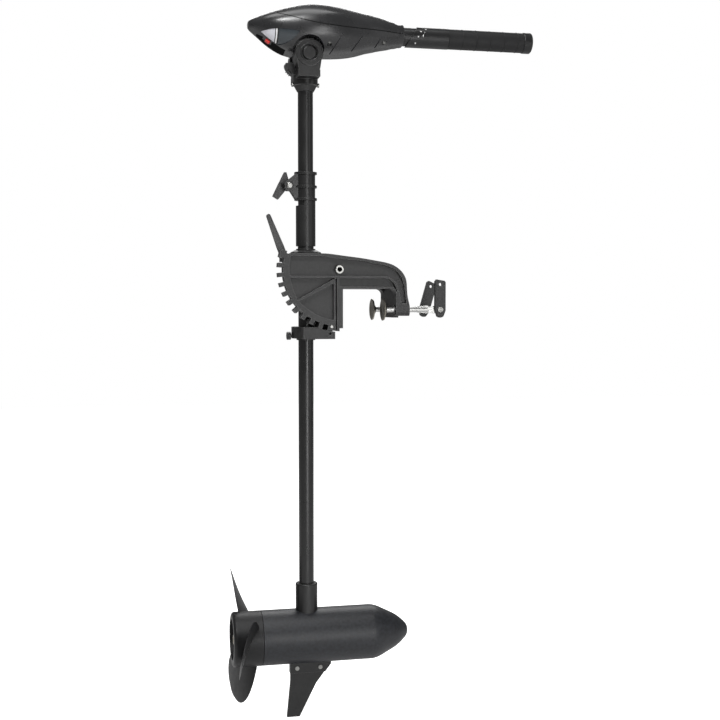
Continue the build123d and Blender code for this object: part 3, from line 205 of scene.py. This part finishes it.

# pale= gives a material a painted highlight along its edges, paler by that factor
MATERIALS = {
    "bracket": moulded("bracket_composite", grey(0.026), 0.46, **FILLED, pale=7),
    "cradle": moulded("cradle_composite", grey(0.020), 0.46, **FILLED, pale=6),
    "polymer": moulded("polymer_black", grey(0.010), 0.36, pale=7),
    "head": moulded(
        "head_plastic", (0.018, 0.018, 0.019), 0.27, grain=1500, depth=0.015, vary=0.1, pale=4
    ),
    "yoke": moulded("yoke_plastic", grey(0.009), 0.3, pale=12),
    "sleeve": moulded("sleeve_plastic", (0.007, 0.007, 0.0075), 0.36, specular=0.4),
    "grip": moulded(
        "grip_rubber", (0.006, 0.006, 0.0065), 0.55, grain=900, depth=0.12, specular=0.35
    ),
    "handle": moulded(
        "handle_plastic", grey(0.024), 0.46, grain=500, depth=0.12, vary=0.2, specular=0.35, pale=5
    ),
    "shaft": moulded("shaft_black", grey(0.009), 0.30, grain=1600, depth=0.02, vary=0.1),
    "motor": moulded("motor_paint", (0.012, 0.013, 0.016), 0.44, **CAST),
    "propeller": moulded(
        "propeller_plastic", (0.008, 0.008, 0.0085), 0.46, **BLADE, specular=0.35
    ),
    "skeg": moulded("skeg_plastic", grey(0.009), 0.44, **BLADE, specular=0.4, pale=8),
    "panel": moulded("panel_pale", (0.62, 0.62, 0.66), 0.4, **PRINTED),
    "strip": moulded("strip_white", grey(0.85), 0.4, **PRINTED),
    "lens": moulded(
        "lens_grey", (0.035, 0.042, 0.048), 0.16, grain=300, depth=0.002, vary=0.1
    ),
    "red": moulded("button_red", (0.6, 0.02, 0.015), 0.35),
    "board": moulded("board_green", (0.02, 0.12, 0.05), 0.5),
    "magnet": moulded("magnet_grey", (0.08, 0.08, 0.085), 0.6),
    "mark": moulded("mark_white", grey(0.75), 0.5, **PRINTED),
    # near-black, hardly glossy material for painted shade on the head seam, under the head and in
    # the bolt's hollow end
    "socket": moulded(
        "socket_shadow", grey(0.004), 0.8, grain=900, depth=0.01, vary=0.1, specular=0.05
    ),
    "steel": metal("stainless", (0.46, 0.46, 0.45), 0.32),
    "fastener": metal("fastener_dark", (0.24, 0.24, 0.23), 0.3),
    "insert": metal("insert_dark", grey(0.07), 0.2),
    "plate": metal("pad_plate", (0.26, 0.245, 0.21), 0.38),
    "nut": metal("nut_metal", (0.42, 0.38, 0.30), 0.35),
    "core": metal("core_steel", (0.3, 0.3, 0.31), 0.45),
    "copper": metal("copper", (0.72, 0.4, 0.22), 0.35),
}

NODES_IN = {
    "bracket": ["clamp_bracket"],
    "cradle": ["tilt_cradle"],
    "polymer": [
        "lower_bush",
        "upper_bush",
        "depth_collar",
        "collar_lever",
        "tilt_lever",
        "tension_screw",
        "steering_sleeve",
        "neck_sleeve",
    ],
    "head": ["head_housing", "head_cover"],
    "yoke": ["head_yoke", "hinge_pin", "tilt_release"],
    "sleeve": ["speed_sleeve", "end_cap", "speed_switch", "tiller_tube"],
    "grip": ["rubber_grip", "shaft_seal"],
    "handle": ["clamp_grip_port", "clamp_grip_starboard"],
    "plate": ["clamp_pad_port", "clamp_pad_starboard"],
    "shaft": ["shaft_tube"],
    "motor": ["motor_tube", "nose_cone", "rear_cap"],
    "propeller": ["propeller"],
    "skeg": ["skeg"],
    "panel": ["gauge_panel"],
    "strip": ["gauge_strip"],
    "lens": ["gauge_lens"],
    "red": ["test_button"],
    "board": ["control_board", "brush_plate"],
    "magnet": ["field_magnets"],
    "insert": ["screw_inserts"],
    "fastener": [
        "skeg_screws",
        "yoke_screws",
        "head_screws",
        "pivot_bolt",
        "stop_pin",
        "collar_bolt",
        "grip_rivet_port",
        "grip_rivet_starboard",
    ],
    "steel": [
        "pivot_nut",
        "clamp_screw_port",
        "clamp_screw_starboard",
        "lever_pin",
        "lock_pin",
        "through_bolts",
        "prop_shaft",
        "drive_pin",
        "shaft_bearings",
    ],
    "nut": ["prop_nut"],
    "core": ["armature"],
    "copper": ["windings", "commutator"],
}


def dress(node, mat):
    """Give a CAD node one material."""
    if not node.data.materials:
        node.data.materials.append(None)
    for slot in node.material_slots:
        slot.material = mat


# ---------------------------------------------------------------- mesh helpers


def make_piece(name, bm, mat, body):
    """Finish a bmesh as a smooth-shaded piece that rides on a body."""
    bmesh.ops.recalc_face_normals(bm, faces=bm.faces)
    mesh = bpy.data.meshes.new(name)
    bm.to_mesh(mesh)
    bm.free()
    for face in mesh.polygons:
        face.use_smooth = True
    mesh.materials.append(mat)
    obj = bpy.data.objects.new(name, mesh)
    bpy.context.scene.collection.objects.link(obj)
    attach(obj, body)
    return obj


def centre_of(node):
    """Middle of a node's box."""
    low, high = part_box(node)
    return (low + high) / 2


def between(table, x):
    """Value at x in a table of (x, value) rows, joined by straight lines."""
    for (x0, a), (x1, b) in zip(table, table[1:]):
        if x <= x1:
            t = max(0.0, (x - x0) / (x1 - x0))
            return a + (b - a) * t
    return table[-1][1]


def turns(count):
    """Angles that share a full turn evenly."""
    return [2 * math.pi * i / count for i in range(count)]


def circle(x, z, radius, count=20):
    """Corners of a disc."""
    return [(x + radius * math.cos(a), z + radius * math.sin(a)) for a in turns(count)]


def bar(a, b, width):
    """Corners of a straight bar between two points."""
    a, b = Vector(a), Vector(b)
    side = (b - a).normalized().orthogonal() * width / 2
    return [tuple(a + side), tuple(b + side), tuple(b - side), tuple(a - side)]


def sweep_rings(bm, rings, closed):
    """Join rings of points, each with the same count, into a tube."""
    rows = [[bm.verts.new(p) for p in ring] for ring in rings]
    count = len(rows[0])
    spans = len(rows) if closed else len(rows) - 1
    for i in range(spans):
        a, b = rows[i], rows[(i + 1) % len(rows)]
        for j in range(count):
            k = (j + 1) % count
            bm.faces.new((a[j], a[k], b[k], b[j]))
    if not closed:
        bm.faces.new(rows[0][::-1])
        bm.faces.new(rows[-1])


def bead(bm, centre, axis, radius, rise, reach, steps):
    """Rounded bead round a level axis; it rises outwards and reaches to both sides."""
    along = Vector(axis)
    across = Vector((along.y, along.x, 0))
    rings = []
    for a in turns(steps):
        out = across * math.cos(a) + UP * math.sin(a)
        rings.append([
            centre + along * reach * math.cos(b) + out * (radius + rise * math.sin(b))
            for b in turns(8)
        ])
    sweep_rings(bm, rings, True)


def thread(bm, start, length, centre, radius, pitch, depth):
    """Vee thread wound on a rod along X, fading out at both ends."""
    steps = 28
    total = int(length / pitch * steps)
    foot_radius = radius - 0.1 * MM
    side = Vector((pitch * 0.46, 0, 0))
    rings = []
    for i in range(total + 1):
        a = 2 * math.pi * i / steps
        out = Vector((0, math.cos(a), math.sin(a)))
        mid = Vector((start + pitch * i / steps, centre.y, centre.z))
        rise = depth * min(1.0, i / steps, (total - i) / steps)
        crest = mid + out * (radius + rise)
        foot = mid + out * foot_radius
        rings.append([foot - side, crest, foot + side])
    sweep_rings(bm, rings, False)


def surface_tree(objects):
    """Search tree over the faces of several meshes."""
    verts, faces = [], []
    for obj in objects:
        first = len(verts)
        verts += [v.co.copy() for v in obj.data.vertices]
        faces += [[first + i for i in face.vertices] for face in obj.data.polygons]
    return BVHTree.FromPolygons(verts, faces)


def lay_on(tree, x, z, side, lift):
    """Point just above the surface that is met from starboard or port."""
    hit, normal, _, _ = tree.ray_cast(Vector((x, side, z)), Vector((0, -side, 0)))
    if normal.y * side < 0:
        normal.negate()
    return hit + normal * lift


def patch(bm, tree, outline, lift):
    """Thin mark laid on a surface from starboard; its outline is in the XZ plane."""
    middle = sum((Vector(p) for p in outline), Vector((0, 0))) / len(outline)
    points = [middle] + [Vector(p) for p in outline]
    verts = [bm.verts.new(lay_on(tree, p.x, p.y, STARBOARD, lift)) for p in points]
    for i in range(len(outline)):
        bm.faces.new((verts[0], verts[1 + i], verts[1 + (i + 1) % len(outline)]))


# ---------------------------------------------------------------- head mouldings

# Growth of the head's tail above, below and beside the tiller's axis, by distance from its end.
RISE = [(0, 1.07), (6, 1.25), (18, 1.38), (30, 1.24), (42, 1.10), (54, 1.03), (70, 1.0)]
DROP = [(0, 0.94), (6, 0.80), (18, 0.76), (30, 0.88), (42, 1.0), (54, 1.05), (70, 1.0)]
WIDEN = [(0, 1.02), (6, 1.16), (18, 1.24), (30, 1.12), (42, 1.03), (54, 1.0), (70, 1.0)]

# The bore for the tiller keeps its size, and the growth fades in over a short wall outside it.
BORE_RADIUS = 18.6
BORE_WALL = 2.5

# Edges flatter than this are shaded as one surface.
SMOOTH_ANGLE = math.radians(32)


def fair_tail(point, axis, rear):
    """Move a point of the head onto an even taper towards the tiller."""
    back = (rear - point.x) / MM
    if back > RISE[-1][0]:
        return
    dy, dz = point.y - axis.y, point.z - axis.z
    wall = (math.hypot(dy, dz) / MM - BORE_RADIUS) / BORE_WALL
    share = min(1.0, max(0.0, wall))
    grow = between(RISE if dz > 0 else DROP, back)
    point.y = axis.y + dy * (1 + share * (between(WIDEN, back) - 1))
    point.z = axis.z + dz * (1 + share * (grow - 1))


def make_head_shell(node, mat):
    """Head moulding with its tail faired and its shading renewed."""
    axis = centre_of("tiller_tube")
    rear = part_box(node)[1].x
    bm = bmesh.new()
    bm.from_mesh(nodes[node].data)
    bmesh.ops.remove_doubles(bm, verts=bm.verts, dist=0.002 * MM)
    for vert in bm.verts:
        fair_tail(vert.co, axis, rear)
    for edge in bm.edges:
        edge.smooth = len(edge.link_faces) == 2 and edge.calc_face_angle(0) < SMOOTH_ANGLE
    obj = make_piece(f"{node}_shell", bm, mat, "head")
    old_shading = obj.data.attributes.get("custom_normal")
    if old_shading:
        obj.data.attributes.remove(old_shading)
    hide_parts(node)
    return obj


# Height of the parting line over the tiller's axis, by distance behind the nose.
SEAM = [(46, 22), (87, 10.5), (103, 6.8), (118, 4), (137, 1.6), (171, 0), (218, 0), (287, 0.5)]
SEAM_START = 48
SEAM_STEP = 2.48
SEAM_POINTS = 97
SEAM_HALF_WIDTH = 0.75


def seam_shade_strip(bm, tree, nose, height, side):
    """One side's strip of painted shade along the parting line."""
    last = None
    for i in range(SEAM_POINTS):
        along = SEAM_START + i * SEAM_STEP
        x, z = nose + along * MM, height + between(SEAM, along) * MM
        pair = [
            bm.verts.new(lay_on(tree, x, z + half * MM, side, 0.06 * MM))
            for half in (-SEAM_HALF_WIDTH, SEAM_HALF_WIDTH)
        ]
        if last:
            bm.faces.new((last[0], pair[0], pair[1], last[1]))
        last = pair


def make_head_seam_shade(shells):
    """Painted shade along the parting line between the two head mouldings, on both sides."""
    tree = surface_tree(shells)
    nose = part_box("head_housing")[0].x
    height = centre_of("tiller_tube").z
    bm = bmesh.new()
    for side in (STARBOARD, PORT):
        seam_shade_strip(bm, tree, nose, height, side)
    make_piece("head_seam_shade", bm, MATERIALS["socket"], "head")


# Half width of the painted shade under the head, by distance behind the nose.
BELLY_SHADE = [(15, 7), (28, 20), (48, 23), (66, 19)]
BELLY_SHADE_ROWS, BELLY_SHADE_COLUMNS = 34, 24
BELLY_SHADE_DROP = 0.25


def belly_shade_grid(bm, tree, nose):
    """Rows of vertices just under the belly of the head."""
    front, back = BELLY_SHADE[0][0], BELLY_SHADE[-1][0]
    grid = []
    for i in range(BELLY_SHADE_ROWS + 1):
        along = front + (back - front) * i / BELLY_SHADE_ROWS
        half = between(BELLY_SHADE, along)
        row = []
        for j in range(BELLY_SHADE_COLUMNS + 1):
            side = half * (2 * j / BELLY_SHADE_COLUMNS - 1)
            hit = tree.ray_cast(Vector((nose + along * MM, side * MM, 0)), UP)[0]
            row.append(bm.verts.new(hit - UP * BELLY_SHADE_DROP * MM))
        grid.append(row)
    return grid


def make_belly_shade():
    """Near-black sheet of painted shade under the front of the head, open round the test button.
    """
    tree = surface_tree([nodes["head_housing"]])
    low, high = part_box("test_button")
    low = low - Vector((3, 1, 0)) * MM
    high = high + Vector((1, 1, 0)) * MM
    bm = bmesh.new()
    grid = belly_shade_grid(bm, tree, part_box("head_housing")[0].x)
    for row, after in zip(grid, grid[1:]):
        for j in range(BELLY_SHADE_COLUMNS):
            corners = (row[j], after[j], after[j + 1], row[j + 1])
            spots = [v.co for v in corners]
            if not any(low.x < p.x < high.x and low.y < p.y < high.y for p in spots):
                bm.faces.new(corners)
    loose = [v for v in bm.verts if not v.link_faces]
    bmesh.ops.delete(bm, geom=loose, context="VERTS")
    make_piece("belly_shade", bm, MATERIALS["socket"], "head")


def make_hinge_rings():
    """Raised rings round the head's hinge on both cheeks of the yoke."""
    centre = centre_of("hinge_pin")
    low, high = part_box("head_yoke")
    bm = bmesh.new()
    for y in (low.y, high.y):
        middle = Vector((centre.x, y, centre.z))
        for radius, half_width, height in ((15.5, 1.2, 1.0), (23.5, 1.0, 0.6)):
            bead(bm, middle, (0, 1, 0), radius * MM, half_width * MM, height * MM, 64)
    make_piece("hinge_rings", bm, MATERIALS["yoke"], "shaft")


# ---------------------------------------------------------------- tiller marks


def make_grip_beads():
    """Low beads round the rubber grip."""
    low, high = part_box("rubber_grip")
    centre = centre_of("rubber_grip")
    radius = (high.z - low.z) / 2
    pitch = (high.x - low.x) / 5.5
    bm = bmesh.new()
    for i in range(6):
        middle = Vector((low.x + 1.2 * MM + i * pitch, centre.y, centre.z))
        bead(bm, middle, (1, 0, 0), radius, 0.45 * MM, 0.8 * MM, 72)
    make_piece("grip_beads", bm, MATERIALS["grip"], "grip")


# Places of the speed marks from the sleeve's end at the head and from its axis.
SPEED_DOTS = [(27.0, 7.8), (21.8, -2.3), (17.0, -13.4)]
SPEED_LINE = [(30.5, -1.4), (37.5, 13.5)]


def make_speed_marks():
    """Three dots and a slanted line printed on the speed sleeve."""
    tree = surface_tree([nodes["speed_sleeve"]])
    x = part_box("speed_sleeve")[0].x
    z = centre_of("speed_sleeve").z
    bm = bmesh.new()
    for dx, dz in SPEED_DOTS:
        patch(bm, tree, circle(x + dx * MM, z + dz * MM, 1.15 * MM), 0.05 * MM)
    ends = [(x + dx * MM, z + dz * MM) for dx, dz in SPEED_LINE]
    patch(bm, tree, bar(*ends, 2 * MM), 0.35 * MM)
    make_piece("speed_marks", bm, MATERIALS["mark"], "grip")


# ---------------------------------------------------------------- clamp


def make_threads():
    """Threads of the two clamp screws, clear of the pad and of the folding grip."""
    pad_end, grip_end = 9, 15
    pitch, depth = 2 * MM, 0.33 * MM
    for side in ("port", "starboard"):
        low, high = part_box(f"clamp_screw_{side}")
        centre = centre_of(f"clamp_screw_{side}")
        radius = (high.y - low.y) / 2 - 0.35 * MM
        length = high.x - low.x - (pad_end + grip_end) * MM
        bm = bmesh.new()
        thread(bm, low.x + pad_end * MM, length, centre, radius, pitch, depth)
        make_piece(f"thread_{side}", bm, MATERIALS["steel"], f"screw_{side}")


def make_bolt_socket():
    """Painted shade for the hollow end of the tilt bolt: a dark well and notch inside a bright
    ring.
    """
    tree = surface_tree([nodes["pivot_bolt"]])
    c = centre_of("pivot_bolt")
    notch = [(c.x - 3 * MM, c.z + 1.4 * MM), (c.x - 6.4 * MM, c.z + 2.6 * MM)]
    bm = bmesh.new()
    patch(bm, tree, circle(c.x, c.z, 4.5 * MM, 28), 0.05 * MM)
    patch(bm, tree, bar(*notch, 2.2 * MM), 0.06 * MM)
    make_piece("bolt_socket", bm, MATERIALS["socket"], "bracket")


# ---------------------------------------------------------------- stage

FLOOR_GAP = 0.03
FLOOR_HALF = 6.0
FLOOR_GLOW = 0.9
STUDIO_LIGHT = 0.22


def floor_material():
    """Pale floor that looks white to the camera and keeps the object's shadow."""
    mat, tree, shader, coord = new_material("floor_white")
    grain = noise(tree, coord, 6.0)
    tree.links.new(ramp(tree, grain, grey(0.93), grey(0.95)), shader.inputs["Base Color"])
    shader.inputs["Roughness"].default_value = 0.9
    shader.inputs["Specular IOR Level"].default_value = 0.1
    path = tree.nodes.new("ShaderNodeLightPath")
    lift = tree.nodes.new("ShaderNodeMath")
    lift.operation = "MULTIPLY"
    lift.inputs[1].default_value = FLOOR_GLOW
    tree.links.new(path.outputs["Is Camera Ray"], lift.inputs[0])
    shader.inputs["Emission Color"].default_value = (1, 1, 1, 1)
    tree.links.new(lift.outputs["Value"], shader.inputs["Emission Strength"])
    return mat


def make_floor():
    """Wide floor a little under the object."""
    z = cad_box[0][2] - FLOOR_GAP
    bm = bmesh.new()
    bmesh.ops.create_grid(bm, x_segments=4, y_segments=4, size=FLOOR_HALF)
    bmesh.ops.translate(bm, verts=bm.verts, vec=(0, 1.0, z))
    mesh = bpy.data.meshes.new("floor")
    bm.to_mesh(mesh)
    bm.free()
    mesh.materials.append(floor_material())
    obj = bpy.data.objects.new("floor", mesh)
    bpy.context.scene.collection.objects.link(obj)


def make_world():
    """White surroundings for the camera, and a soft even light for everything else."""
    world = bpy.data.worlds.new("studio")
    bpy.context.scene.world = world
    world.use_nodes = True
    tree = world.node_tree
    tree.nodes.clear()
    out = tree.nodes.new("ShaderNodeOutputWorld")
    seen = tree.nodes.new("ShaderNodeBackground")
    lit = tree.nodes.new("ShaderNodeBackground")
    for node, strength in ((seen, 1.0), (lit, STUDIO_LIGHT)):
        node.inputs["Color"].default_value = (1, 1, 1, 1)
        node.inputs["Strength"].default_value = strength
    path = tree.nodes.new("ShaderNodeLightPath")
    mix = tree.nodes.new("ShaderNodeMixShader")
    tree.links.new(path.outputs["Is Camera Ray"], mix.inputs["Fac"])
    tree.links.new(lit.outputs["Background"], mix.inputs[1])
    tree.links.new(seen.outputs["Background"], mix.inputs[2])
    tree.links.new(mix.outputs["Shader"], out.inputs["Surface"])


def aim(obj, position, direction):
    """Put a camera or light in place, looking along a direction."""
    bpy.context.scene.collection.objects.link(obj)
    obj.location = position
    obj.rotation_euler = direction.to_track_quat("-Z", "Y").to_euler()


def make_camera():
    """Camera at the place and angle of the photograph."""
    data = bpy.data.cameras.new("camera")
    data.lens = 56.25
    data.sensor_width = 36.0
    obj = bpy.data.objects.new("camera", data)
    yaw, pitch = math.radians(12.3), math.radians(-2.8)
    level = math.cos(pitch)
    direction = Vector((math.sin(yaw) * level, math.cos(yaw) * level, math.sin(pitch)))
    aim(obj, Vector((-0.4069, -2.0733, 0.0085)), direction)
    bpy.context.scene.camera = obj


def area_light(name, position, target, size, power):
    """Soft rectangular light aimed at a point."""
    data = bpy.data.lights.new(name, "AREA")
    data.shape = "RECTANGLE"
    data.size, data.size_y = size
    data.energy = power
    obj = bpy.data.objects.new(name, data)
    aim(obj, position, Vector(target) - Vector(position))


def make_lights():
    """Key on the head, large soft top and rim lights, and low fills for the clamp and motor."""
    middle = (-0.03, 0, -0.1)
    area_light("key", (-0.65, -1.7, 1.85), (-0.1, 0, 0.5), (0.5, 0.35), 32)
    area_light("top", (-0.3, -0.4, 2.6), middle, (2.0, 1.2), 34)
    area_light("front", (0.45, -2.6, 0.15), middle, (0.55, 1.1), 12)
    area_light("low_front", (0.4, -2.4, -0.5), (0, 0, -0.6), (0.9, 0.3), 8)
    area_light("fill", (2.2, -1.6, 0.4), middle, (1.2, 2.0), 5)
    area_light("rim", (0.6, 2.2, 1.6), middle, (2.0, 1.2), 30)


# ---------------------------------------------------------------- build

for look, names in NODES_IN.items():
    for name in names:
        dress(nodes[name], MATERIALS[look])

shells = [make_head_shell(node, MATERIALS["head"]) for node in ("head_housing", "head_cover")]
make_head_seam_shade(shells)
make_belly_shade()
make_hinge_rings()
make_grip_beads()
make_speed_marks()
make_threads()
make_bolt_socket()

make_floor()
make_world()
make_camera()
make_lights()
bpy.context.scene.view_settings.view_transform = "Standard"
